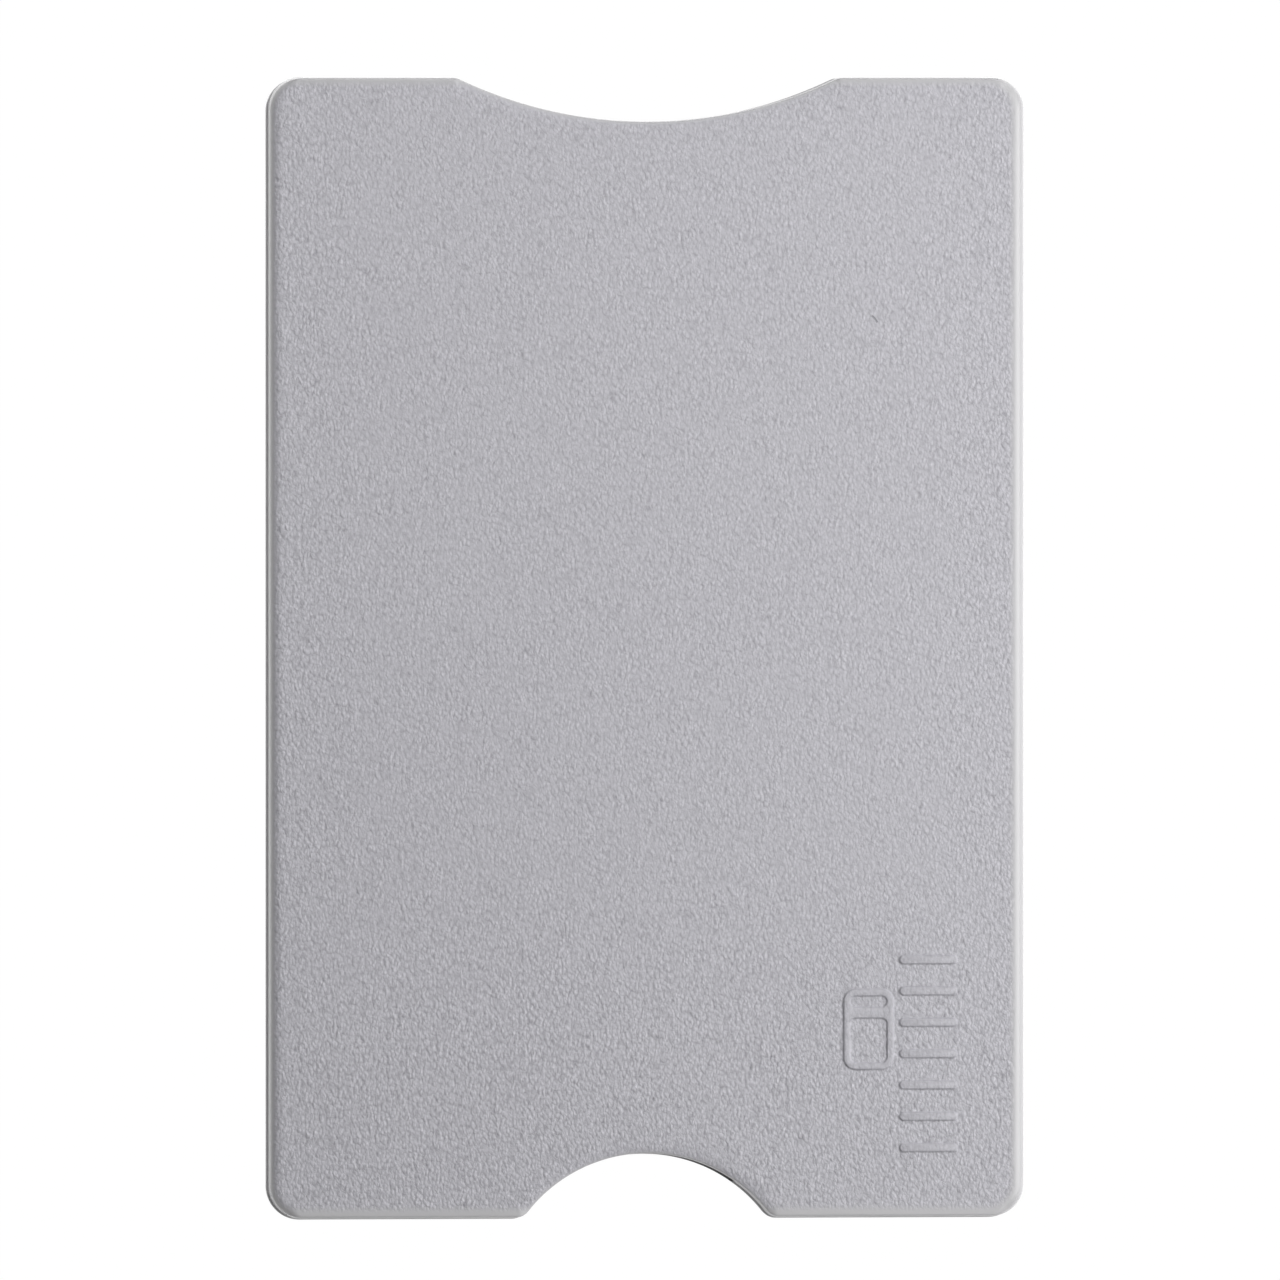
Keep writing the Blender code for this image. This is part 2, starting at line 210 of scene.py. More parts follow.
def notch_edge():
    stations = round_cut(NOTCH_RADIUS, NOTCH_DEPTH, NOTCH_BLEND)
    for station in stations:
        station.place = Vector((station.place.x, CLOSED_END + station.place.y))
    return stations


def case_outline():
    """The outline of both shells, anticlockwise from the closed end's left corner."""
    side, foot, head = WIDTH / 2 - CORNER, CLOSED_END + CORNER, TOP_EDGE - CORNER
    return (
        corner((-side, foot), 180)
        + notch_edge()
        + corner((side, foot), 270)
        + corner((side, head), 0)
        + mouth_edge()
        + corner((-side, head), 90)
    )


MISMATCH_X, MISMATCH_Y = 0.06, 0.04


def shell_outline(side):
    """One shell's outline, a little smaller than the case and shifted to its side, 1 or -1."""
    stations = case_outline()
    for station in stations:
        station.place = station.drawn_in(MISMATCH_X) + side * Vector((MISMATCH_X, MISMATCH_Y))
    return stations


front_outline, back_outline = shell_outline(1), shell_outline(-1)
print("stations round each shell:", len(front_outline))

# %% [markdown]
# ## Lofting
#
# A loft takes rings of points, one above the other, and joins each ring to the next with quads.
# It makes the shell's wall and rolled edge, the cutters for the slot, and the flanks of the
# relief. A Bevel modifier would round the edges too, but not by a section that changes. All of it
# works in millimetres, because mesh tools have tolerances meant for larger things.

# %% Rings, lofts and lids
def ring(solid, points, height):
    return [solid.verts.new((x, y, height)) for x, y in points]


def loft(solid, rings):
    """Quads between neighbouring rings, which run anticlockwise from bottom to top."""
    for low, high in zip(rings, rings[1:]):
        for i, vert in enumerate(low):
            before = i - 1
            solid.faces.new((low[before], vert, high[i], high[before]))


def solid_loft(outlines_and_heights):
    """A closed body with a flat lid at each end."""
    solid = bmesh.new()
    rings = [ring(solid, points, height) for points, height in outlines_and_heights]
    loft(solid, rings)
    solid.faces.new(rings[0][::-1])
    solid.faces.new(rings[-1])
    return solid


def prism(points, low, high):
    return solid_loft([(points, low), (points, high)])


def fill(solid, *rings):
    """Flat faces inside the first ring and outside the others."""
    edges = [
        solid.edges.get((verts[i - 1], vert)) for verts in rings for i, vert in enumerate(verts)
    ]
    bmesh.ops.triangle_fill(solid, use_beauty=True, edges=edges, normal=(0, 0, 1))


def as_mesh(solid, name):
    mesh = bpy.data.meshes.new(name)
    bmesh.ops.recalc_face_normals(solid, faces=solid.faces)
    solid.to_mesh(mesh)
    solid.free()
    return mesh


slab = prism(drawn_in(case_outline()), 0.0, THICKNESS)
print(f"a plain slab of this outline holds {slab.calc_volume() / 1000:.1f} cubic centimetres")
slab.free()

# %% [markdown]
# ## Low relief on the front face
#
# Near the lower right corner the front face carries a row of plain raised bars, one above the
# other, and beside them a small card sign: a card's outline with a stripe across it. In the mould
# these are cut into the steel, so their flanks are soft and their feet run out into the face.
# Each flank here is a loft with an S-shaped profile. A flat guard ring outside the foot keeps the
# big face's shading perfectly level right up to the relief.

# %% Flanks and bars
FLANK = 0.19
FOOT = 0.05
FLANK_STEPS = 8
GUARD = 0.06

BAR_COUNT, BAR_PITCH = 7, 2.50
BAR_LENGTH, BAR_WIDTH = 4.70, 0.75
BARS_TO_SIDE = 7.80
BARS_TO_CLOSED_END = 13.15


def flank_rings(solid, stations, sign=1):
    """Rings up a flank, from the guard ring to the top. With sign -1 the low ground is inside."""
    insets = [-FOOT - GUARD] + [FLANK * i / FLANK_STEPS - FOOT for i in range(FLANK_STEPS + 1)]
    heights = [0.0] + [RELIEF * smooth(i / FLANK_STEPS) for i in range(FLANK_STEPS + 1)]
    return [
        ring(solid, drawn_in(stations, sign * inset), THICKNESS + height)
        for inset, height in zip(insets, heights)
    ]


def add_bar(solid, x, y):
    """A raised, round-ended stroke with a lid on top. Returns its guard ring."""
    reach, end = (BAR_LENGTH - BAR_WIDTH) / 2, BAR_WIDTH / 2
    stations = arc((x + reach, y), end, -90, 90) + arc((x - reach, y), end, 90, 270)
    rings = flank_rings(solid, stations)
    loft(solid, rings)
    solid.faces.new(rings[-1])
    return rings[0]


print(f"{BAR_COUNT} bars of {BAR_LENGTH} x {BAR_WIDTH} mm, {BAR_PITCH} mm apart")

# %% The card sign, a plate with two windows
SIGN_WIDTH, SIGN_LENGTH, SIGN_CORNER = 4.10, 6.50, 1.00
SIGN_STROKE = 0.62
SIGN_TO_SIDE = 12.60
SIGN_TO_CLOSED_END = 15.10
STRIPE_TO_TOP, STRIPE_WIDTH = 1.45, 0.95
WINDOW_CORNER = 0.42


def add_sign(solid, x, y):
    """A raised plate whose windows' floors are level with the face. Returns its guard ring."""
    left, right = x - SIGN_WIDTH / 2, x + SIGN_WIDTH / 2
    bottom, top = y - SIGN_LENGTH / 2, y + SIGN_LENGTH / 2
    stripe_top = top - STRIPE_TO_TOP
    lower_window = (bottom + SIGN_STROKE, stripe_top - STRIPE_WIDTH)
    upper_window = (stripe_top, top - SIGN_STROKE)
    plate = flank_rings(solid, round_box(left, right, bottom, top, SIGN_CORNER))
    loft(solid, plate)
    tops = [plate[-1]]
    for low, high in (lower_window, upper_window):
        window = round_box(left + SIGN_STROKE, right - SIGN_STROKE, low, high, WINDOW_CORNER)
        rings = flank_rings(solid, window, -1)
        loft(solid, rings[::-1])
        solid.faces.new(rings[0])
        tops.append(rings[-1])
    fill(solid, *tops)
    return plate[0]


print(f"sign of {SIGN_WIDTH} x {SIGN_LENGTH} mm with a {STRIPE_WIDTH} mm stripe")

# %% [markdown]
# ## The blank shells
#
# A blank is a half shell before its inside is cut: a small break at the parting line, the wall
# with the few degrees of draft that let it leave the mould, the small edge radius, the roll and
# the flat face. The front blank's face is filled round the relief, so that the relief is one piece
# with the shell, as it is on the moulded part.

# %% The edge's section and the blanks of both shells
EDGE_RADIUS = 0.18
EDGE_STEPS, ROLL_STEPS = 6, 12
ROLL_EASE = 1.6
DRAFT = math.radians(3)
FACE_GUARD = 0.12


def roll_curve(tilt):
    """Pairs of run and drop along a roll one unit wide, whose slope grows slowly at first."""
    run, drop, curve = 0.0, 0.0, [(0.0, 0.0)]
    for i in range(ROLL_STEPS):
        turn = tilt * ((i + 0.5) / ROLL_STEPS) ** ROLL_EASE
        run, drop = run + math.cos(turn), drop + math.sin(turn)
        curve.append((run, drop))
    return [(x / run, y / run) for x, y in curve]


def edge_section(station):
    """Pairs of inset and drop below the face, from the wall up to a guard ring on the face."""
    roll = [(x * station.roll, y * station.roll) for x, y in roll_curve(station.tilt)]
    roll_drop = roll[-1][1]
    width = station.roll + EDGE_RADIUS * (1 - math.sin(station.tilt))
    section = []
    for i in range(EDGE_STEPS + 1):
        turn = math.pi / 2 + (station.tilt - math.pi / 2) * i / EDGE_STEPS
        drop = roll_drop + EDGE_RADIUS * (math.cos(station.tilt) - math.cos(turn))
        section.append((EDGE_RADIUS * (1 - math.sin(turn)), drop))
    section += [(width - run, drop) for run, drop in reversed(roll[:-1])]
    section.append((width + FACE_GUARD, 0.0))
    lean = (THICKNESS / 2 - PARTING_BREAK - section[0][1]) * math.tan(DRAFT)
    return [(inset + lean, drop) for inset, drop in section]


def blank_rings(solid, outline, parting, face):
    """The parting break, the wall and the edge. Returns the guard ring on the face."""
    out = 1 if face > parting else -1
    rings = [
        ring(solid, drawn_in(outline, PARTING_BREAK), parting),
        ring(solid, drawn_in(outline), parting + out * PARTING_BREAK),
    ]
    sections = [edge_section(station) for station in outline]
    for steps in zip(*sections):
        verts = []
        for station, (inset, drop) in zip(outline, steps):
            x, y = station.drawn_in(inset)
            verts.append(solid.verts.new((x, y, face - out * drop)))
        rings.append(verts)
    loft(solid, rings)
    solid.faces.new(rings[0])
    return rings[-1]


def front_blank():
    solid = bmesh.new()
    rim = blank_rings(solid, front_outline, FRONT_RIM, THICKNESS)
    bars_x, bars_y = WIDTH / 2 - BARS_TO_SIDE, CLOSED_END + BARS_TO_CLOSED_END
    first = bars_y - (BAR_COUNT - 1) / 2 * BAR_PITCH
    islands = [add_bar(solid, bars_x, first + i * BAR_PITCH) for i in range(BAR_COUNT)]
    islands.append(add_sign(solid, WIDTH / 2 - SIGN_TO_SIDE, CLOSED_END + SIGN_TO_CLOSED_END))
    fill(solid, rim, *islands)
    return as_mesh(solid, "front_blank")


def back_blank():
    solid = bmesh.new()
    rim = blank_rings(solid, back_outline, BACK_RIM, 0.0)
    solid.faces.new(rim)
    return as_mesh(solid, "back_blank")


def open_edges(mesh):
    """How many edges don't have exactly two faces. A closed body has none."""
    solid = bmesh.new()
    solid.from_mesh(mesh)
    count = sum(1 for edge in solid.edges if not edge.is_manifold)
    solid.free()
    return count


front_mesh, back_mesh = front_blank(), back_blank()
print("open edges of the blanks:", open_edges(front_mesh), open_edges(back_mesh))

# %% [markdown]
# ## Cutting the inside
#
# Inside, each shell has half of the card slot, a flared lead-in at the mouth, a shallow pocket
# for the foil, two ribs that grip the card, and its half of the weld joint. These are cut with
# Boolean modifiers, which suit them well: flat floors that meet straight walls. The modifiers
# are applied at once, and the cutters are thrown away.

# %% Cutters for the slot, the lead-in and the foil pocket
PAST = 1.0
BURIED = 0.10
LEAD_IN = 0.45
POCKET_DEPTH = 0.20
POCKET_TO_RAIL, POCKET_TO_MOUTH, POCKET_TO_NOTCH = 1.60, 1.60, 1.30
POCKET_CORNER = 1.50
FILLET_STEPS = 4


def slot_cutter():
    """The slot with its round floor edges, as outlines that are drawn in near floor and roof."""
    floor = []
    for i in range(FILLET_STEPS + 1):
        turn = math.radians(90 * i / FILLET_STEPS)
        inset = SLOT_FLOOR_FILLET * (1 - math.sin(turn))
        floor.append((inset, PLATE + SLOT_FLOOR_FILLET * (1 - math.cos(turn))))
    roof = [(inset, THICKNESS - z) for inset, z in reversed(floor)]
    side, top = SLOT_WIDTH / 2, TOP_EDGE + SLOT_CORNER + PAST
    slot = round_box(-side, side, STOP_FACE, top, SLOT_CORNER)
    return solid_loft([(drawn_in(slot, inset), z) for inset, z in floor + roof])


def lead_in_cutter():
    """A plug whose rims slope at 45 degrees, so that it flares both plates along the mouth."""
    deepest = LEAD_IN + BURIED

    def outline(inset):
        reach = SLOT_WIDTH / 2 - BURIED - (deepest - inset)
        edge = TOP_EDGE - inset
        back = TOP_EDGE + PAST
        mouth = drawn_in(mouth_edge(), inset)
        return [(reach, edge), *mouth, (-reach, edge), (-reach, back), (reach, back)]

    low = PLATE - LEAD_IN - BURIED
    return solid_loft(
        [
            (outline(-BURIED), low),
            (outline(deepest), PLATE + BURIED),
            (outline(deepest), THICKNESS - PLATE - BURIED),
            (outline(-BURIED), THICKNESS - low),
        ]
    )


def pocket_outline():
    side = SLOT_WIDTH / 2 - POCKET_TO_RAIL
    bottom = CLOSED_END + NOTCH_DEPTH + POCKET_TO_NOTCH
    top = TOP_EDGE - MOUTH_DEPTH - POCKET_TO_MOUTH
    return drawn_in(round_box(-side, side, bottom, top, POCKET_CORNER))


print(f"slot {SLOT_WIDTH:.2f} mm wide and {THICKNESS - 2 * PLATE:.2f} mm high")

# %% Tools for the weld joint and the grip ribs
TONGUE_WIDTH, TONGUE_HEIGHT, TONGUE_CLEARANCE = 0.70, 0.45, 0.10
TONGUE_TO_MOUTH, TONGUE_TO_NOTCH = 2.40, 1.60
RIB_WIDTH, RIB_TO_RAIL, RIB_HEIGHT, RIB_RAMP = 0.80, 0.35, 0.20, 1.50
RIB_TO_STOP, RIB_TO_TOP = 5.00, 9.00
GRIP_HEIGHT, GRIP_LENGTH = 0.32, 10.00


def rail_line(inset, end_y, end_x):
    centre = (-WIDTH / 2 + CORNER, CLOSED_END + CORNER)
    bend = drawn_in(arc(centre, CORNER, 180, 270), inset)
    return [(-WIDTH / 2 + inset, end_y), *bend, (end_x, CLOSED_END + inset)]


def weld_outline(width, play):
    """The weld joint's left half: an L along the rail and the end stop."""
    notch_half = math.sqrt(NOTCH_RADIUS**2 - (NOTCH_RADIUS - NOTCH_DEPTH) ** 2)
    end_y = TOP_EDGE - TONGUE_TO_MOUTH + play
    end_x = -notch_half - TONGUE_TO_NOTCH + play
    outer = rail_line(RAIL / 2 - width / 2, end_y, end_x)
    inner = rail_line(RAIL / 2 + width / 2, end_y, end_x)
    return outer + inner[::-1]


def weld_pair(width, play, low, high):
    left = weld_outline(width, play)
    right = [(-x, y) for x, y in reversed(left)]
    return [prism(left, low, high), prism(right, low, high)]


def rib(side, front):
    """A rib seen from the side, as a drawing of y and z, extruded across its width."""
    start, end = STOP_FACE + RIB_TO_STOP, TOP_EDGE - RIB_TO_TOP
    grip = end - GRIP_LENGTH
    drawing = [
        (start, PLATE - BURIED),
        (end, PLATE - BURIED),
        (end, PLATE),
        (end - RIB_RAMP, PLATE + GRIP_HEIGHT),
        (grip, PLATE + GRIP_HEIGHT),
        (grip - RIB_RAMP, PLATE + RIB_HEIGHT),
        (start + RIB_RAMP, PLATE + RIB_HEIGHT),
        (start, PLATE),
    ]
    if front:
        drawing = [(y, THICKNESS - z) for y, z in reversed(drawing)]
    x = side * (SLOT_WIDTH / 2 - RIB_TO_RAIL - RIB_WIDTH / 2)
    solid = prism(drawing, x - RIB_WIDTH / 2, x + RIB_WIDTH / 2)
    turn = Matrix.Rotation(math.pi / 2, 4, "Z") @ Matrix.Rotation(math.pi / 2, 4, "X")
    bmesh.ops.transform(solid, matrix=turn, verts=solid.verts)
    return solid


print(f"between the ribs {THICKNESS - 2 * (PLATE + GRIP_HEIGHT):.2f} mm are left for the card")

# %% Cut both shells
SHARP_FROM = math.radians(30)
SEAM = 0.0005


def close_seams(mesh):
    """Merges the points that a Boolean has left in the same place, in millimetres."""
    solid = bmesh.new()
    solid.from_mesh(mesh)
    bmesh.ops.remove_doubles(solid, verts=solid.verts, dist=SEAM)
    bmesh.ops.dissolve_degenerate(solid, edges=solid.edges, dist=SEAM)
    solid.to_mesh(mesh)
    solid.free()


def carve(name, blank, cuts, additions):
    """Applies the cuts and then the additions to a blank, and gives the result as an object."""
    piece = bpy.data.objects.new(name, blank)
    bpy.context.scene.collection.objects.link(piece)
    tools = []
    for operation, solids in (("DIFFERENCE", cuts), ("UNION", additions)):
        for solid in solids:
            tool = bpy.data.objects.new("tool", as_mesh(solid, "tool"))
            bpy.context.scene.collection.objects.link(tool)
            boolean = piece.modifiers.new(operation.lower(), "BOOLEAN")
            boolean.operation = operation
            boolean.solver = "EXACT"
            boolean.object = tool
            tools.append(tool)
    seen = bpy.context.evaluated_depsgraph_get()
    finished = bpy.data.meshes.new_from_object(piece.evaluated_get(seen))
    piece.modifiers.clear()
    piece.data = finished
    for tool in tools:
        bpy.data.objects.remove(tool)
    finished.name = name
    close_seams(finished)
    finished.transform(Matrix.Scale(MM, 4))
    finished.shade_smooth()
    finished.set_sharp_from_angle(angle=SHARP_FROM)
    return piece


groove_floor = PARTING - TONGUE_HEIGHT - TONGUE_CLEARANCE
groove_width = TONGUE_WIDTH + 2 * TONGUE_CLEARANCE
grooves = weld_pair(groove_width, TONGUE_CLEARANCE, groove_floor, PARTING + PAST)
tongues = weld_pair(TONGUE_WIDTH, 0, PARTING - TONGUE_HEIGHT, FRONT_RIM + BURIED)
pocket_floor = PLATE - POCKET_DEPTH
back_pocket = prism(pocket_outline(), pocket_floor, PARTING)
front_pocket = prism(pocket_outline(), PARTING, THICKNESS - pocket_floor)

back_half = carve(
    "back_half_shell",
    back_mesh,
    [slot_cutter(), lead_in_cutter(), back_pocket, *grooves],
    [rib(-1, False), rib(1, False)],
)
front_half = carve(
    "front_half_shell",
    front_mesh,
    [slot_cutter(), lead_in_cutter(), front_pocket],
    [*tongues, rib(-1, True), rib(1, True)],
)
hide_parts("front_shell")
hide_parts("back_shell")
for piece in (front_half, back_half):
    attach(piece, "root")
    print(piece.name, len(piece.data.polygons), "faces, open edges:", open_edges(piece.data))

# %% [markdown]
# ## Shader maths
#
# A finish is worked out from the place on the piece, in millimetres. The small class below wraps
# a socket, so that a formula can be written as one: each operator adds a Math node. Any other
# node comes from its method node(), which sets the node's own settings first and then its inputs.

# %% A socket with operators
MIX_LOW, MIX_HIGH, MIX_RESULT = 6, 7, 2


def feed(node, inputs):
    """Gives a node's sockets their values or links."""
    for name, value in inputs.items():
        if isinstance(value, Flow):
            value.tree.links.new(value.socket, node.inputs[name])
        else:
            node.inputs[name].default_value = value


class Flow:
    """One value, vector or colour that flows through a material's nodes."""

    def __init__(self, tree, socket=None):
        self.tree = tree
        self.socket = socket

    def node(self, kind, settings, inputs, output=0):
        """Adds a node with its settings and inputs, and returns one of its outputs."""
        made = self.tree.nodes.new(kind)
        for name, value in settings.items():
            setattr(made, name, value)
        feed(made, inputs)
        return Flow(self.tree, made.outputs[output])

    def math(self, operation, *values):
        inputs = dict(enumerate(values))
        return self.node("ShaderNodeMath", {"operation": operation}, inputs)

    def __add__(self, other):
        return self.math("ADD", self, other)

    __radd__ = __add__

    def __sub__(self, other):
        return self.math("SUBTRACT", self, other)

    def __rsub__(self, other):
        return self.math("SUBTRACT", other, self)

    def __mul__(self, other):
        return self.math("MULTIPLY", self, other)

    __rmul__ = __mul__

    def __pow__(self, other):
        return self.math("POWER", self, other)

    def __abs__(self):
        return self.math("ABSOLUTE", self)

    def least(self, other):
        return self.math("MINIMUM", self, other)

    def most(self, other):
        return self.math("MAXIMUM", self, other)

    def step(self, low, high):
        """0 below low, 1 above high, and a smooth rise between them."""
        settings = {"interpolation_type": "SMOOTHSTEP"}
        inputs = {"Value": self, "From Min": low, "From Max": high}
        return self.node("ShaderNodeMapRange", settings, inputs)

    def scaled(self, factor):
        """A vector times a number."""
        return self.node("ShaderNodeVectorMath", {"operation": "SCALE"}, {0: self, "Scale": factor})

    def stretched(self, by):
        """A vector times another, part by part."""
        return self.node("ShaderNodeVectorMath", {"operation": "MULTIPLY"}, {0: self, 1: by})

    def parts(self):
        """A vector's x, y and z."""
        return [self.node("ShaderNodeSeparateXYZ", {}, {"Vector": self}, i) for i in range(3)]

    def noise(self, scale, detail=2.0, roughness=0.5, distortion=0.0):
        """Soft noise at this place, from 0 to 1, with scale in lumps per millimetre."""
        inputs = {
            "Vector": self,
            "Scale": scale,
            "Detail": detail,
            "Roughness": roughness,
            "Distortion": distortion,
        }
        return self.node("ShaderNodeTexNoise", {}, inputs)

    def pebbles(self, scale):
        """The distance to the nearest of many scattered centres, from 0 to about 1."""
        inputs = {"Vector": self, "Scale": scale}
        return self.node("ShaderNodeTexVoronoi", {"feature": "F1"}, inputs)

    def mixed(self, low, high):
        """A colour between low and high, with this value as the share of high."""
        inputs = {"Factor": self, MIX_LOW: low, MIX_HIGH: high}
        return self.node("ShaderNodeMix", {"data_type": "RGBA"}, inputs, MIX_RESULT)

    def bumps(self, strength, distance):
        """The surface's direction where this value is its height, in shares of the distance."""
        inputs = {"Strength": strength, "Distance": distance, "Height": self}
        return self.node("ShaderNodeBump", {}, inputs)


def new_finish(name):
    """A material with its shader, and the place on the piece in millimetres."""
    material = bpy.data.materials.new(name)
    material.use_nodes = True
    tree = material.node_tree
    shader = tree.nodes["Principled BSDF"]
    place = Flow(tree).node("ShaderNodeTexCoord", {}, {}, "Object").scaled(1 / MM)
    return material, shader, place


def wear(piece, material):
    piece.data.materials.clear()
    piece.data.materials.append(material)


print("finishes measure in millimetres, so one unit is", MM, "m")

# %% [markdown]
# ## Silver-grey moulded plastic
#
# The mould was spark-eroded, which leaves a fine grain of pebbles and lumps on both faces. The
# pits between them are painted darker and the tops lighter: painted shade and painted light that
# the bumps alone don't cast. The edges are masked for that, so the grain fades out along the sides
# and the ends and just short of the cuts, and the walls and the inside stay satin smooth. The mask
# sits a little up and to the left, as the photograph shows. Pockets rub the middle of the face
# most, so the grain is crispest near the sides and the closed end. One short nick near the upper
# right comes from use. A painted mask could do all this, but the distance from the edge is easy to
# work out: it is the least of the distances to the round rectangle and to the two round cuts.

# %% Distance from the case's edge
def side_distance(x, y):
    """How far inside the round rectangle a place is, in millimetres."""
    over_x = abs(x) - (WIDTH / 2 - CORNER)
    over_y = abs(y) - (LENGTH / 2 - CORNER)
    beyond = (over_x.most(0.0) ** 2 + over_y.most(0.0) ** 2) ** 0.5
    return CORNER - beyond - over_x.most(over_y).least(0.0)


def cut_distance(x, y):
    """How far from the nearer one of the two cuts a place is."""
    mouth_y = y - (TOP_EDGE + MOUTH_RADIUS - MOUTH_DEPTH)
    notch_y = y - (CLOSED_END - NOTCH_RADIUS + NOTCH_DEPTH)
    from_mouth = (x**2 + mouth_y**2) ** 0.5 - MOUTH_RADIUS
    from_notch = (x**2 + notch_y**2) ** 0.5 - NOTCH_RADIUS
    return from_mouth.least(from_notch)


NICK_X, NICK_Y = 18.24, 26.23
NICK_TURN = math.radians(-50)
NICK_BEND = 0.25
NICK_HALF_LENGTH, NICK_HALF_WIDTH = 0.40, 0.11
NICK_END_FADE, NICK_SIDE_FADE = 0.12, 0.08


def nick_at(x, y):
    """1 in the middle of the nick and 0 a little way from it. It curves and ends blunt."""
    x, y = x - NICK_X, y - NICK_Y
    along = x * math.cos(NICK_TURN) + y * math.sin(NICK_TURN)
    across = y * math.cos(NICK_TURN) - x * math.sin(NICK_TURN) + along**2 * NICK_BEND
    in_length = (NICK_HALF_LENGTH - abs(along)).step(0.0, NICK_END_FADE)
    return in_length * (NICK_HALF_WIDTH - abs(across)).step(0.0, NICK_SIDE_FADE)


print("nick at", (NICK_X, NICK_Y), "mm from the middle")

# %% Colours and sizes of the grain
# The pit and peak colours are painted shade in the grain's pits and painted light on its tops.
PLASTIC_SHADED_PIT = (0.260, 0.256, 0.276, 1)
PLASTIC_LIT_PEAK = (0.540, 0.532, 0.572, 1)
PLASTIC_EDGE = (0.428, 0.424, 0.432, 1)
PLASTIC_CLOUD = (0.5, 0.5, 0.52, 1)
CLOUD_SHARE = 0.04

FACE_FROM, FACE_FULL = 0.35, 0.10
SIDE_GRAIN_FROM, SIDE_GRAIN_FULL = 0.32, 1.05
CUT_GRAIN_FROM, CUT_GRAIN_FULL = 0.05, 0.45
GRAIN_SHIFT_X, GRAIN_SHIFT_Y = 0.38, -0.15

GRAIN_HEIGHT = 0.098 * MM
GRAIN_STRETCH = (1.10, 0.78, 1.0)
DOMES_PER_MM, LUMPS_PER_MM = 3.7, 3.2
DOME_SHARE, LUMP_SHARE = 0.35, 0.65
RUBBED_DEPTH, UNEVEN_DEPTH = 0.80, 0.46
END_CRISPER, END_CRISP_FROM, END_CRISP_OVER = 0.36, -15, 18
SIDE_CRISPER, SIDE_CRISP_WITHIN, SIDE_CRISP_OVER = 0.26, 10, 8
RELIEF_SOFTER = 0.45
print(f"{DOMES_PER_MM} domes a millimetre, {GRAIN_HEIGHT / MM} mm high")


# %% How deep the grain is, and its shape
def grain_mask(x, y, z):
    """1 where the mould was eroded, and 0 on walls, at the edges and inside."""
    outside = abs(z - PARTING).step(PARTING - FACE_FROM, PARTING - FACE_FULL)
    from_sides = side_distance(x + GRAIN_SHIFT_X, y + GRAIN_SHIFT_Y)
    grained = from_sides.step(SIDE_GRAIN_FROM, SIDE_GRAIN_FULL) * outside
    return grained * cut_distance(x, y).step(CUT_GRAIN_FROM, CUT_GRAIN_FULL)


def grain_depth(place, x, y, grained, on_relief):
    """The grain's depth, uneven, and crisper near the closed end and the sides."""
    uneven = place.noise(0.9, 2.0, 0.6).step(0.32, 0.68)
    near_end = (END_CRISP_FROM - y).step(0, END_CRISP_OVER) * END_CRISPER
    past_middle = abs(x) - WIDTH / 2 + SIDE_CRISP_WITHIN
    crisper = near_end.most(past_middle.step(0, SIDE_CRISP_OVER) * SIDE_CRISPER)
    depth = RUBBED_DEPTH + uneven * UNEVEN_DEPTH + crisper
    return grained * (1 - on_relief * RELIEF_SOFTER) * depth


def pebbled(place):
    """Domes and lumps, a little longer along the case than across it."""
    drawn = place.stretched(GRAIN_STRETCH)
    domes = 1 - drawn.pebbles(DOMES_PER_MM)
    lumps = drawn.noise(LUMPS_PER_MM, 2.0, 0.55, 0.5)
    return domes * DOME_SHARE + lumps * LUMP_SHARE


print(f"grain fades in over {SIDE_GRAIN_FULL - SIDE_GRAIN_FROM:.2f} mm at the sides")

# %% The plastic
PEBBLE_RISE, RIPPLE_RISE, MEAN_RISE = 0.9, 0.2, 0.55
NICK_DEPTH, NICK_RUBBED, NICK_DARK = 0.3, 0.7, 0.75
SATIN, DULL_WALL, DULL_ROLL = 0.16, 0.30, 0.14
GRAIN_ROUGHNESS, PEBBLE_ROUGHNESS, CLOUD_ROUGHNESS = 0.40, 0.16, 0.03
FLANK_SHINE = 0.18

NICK_FROM, NICK_FULL = 0.2, 0.1
ROLL_FROM, ROLL_FULL = 0.45, 0.15
END_WALL_REACH, END_WALL_FADE = 1, 0.5
END_WALL_TO_SIDE, END_WALL_SIDE_FADE = 1.5, 1
FLANK_FROM, FLANK_FULL = 0.005, 0.03


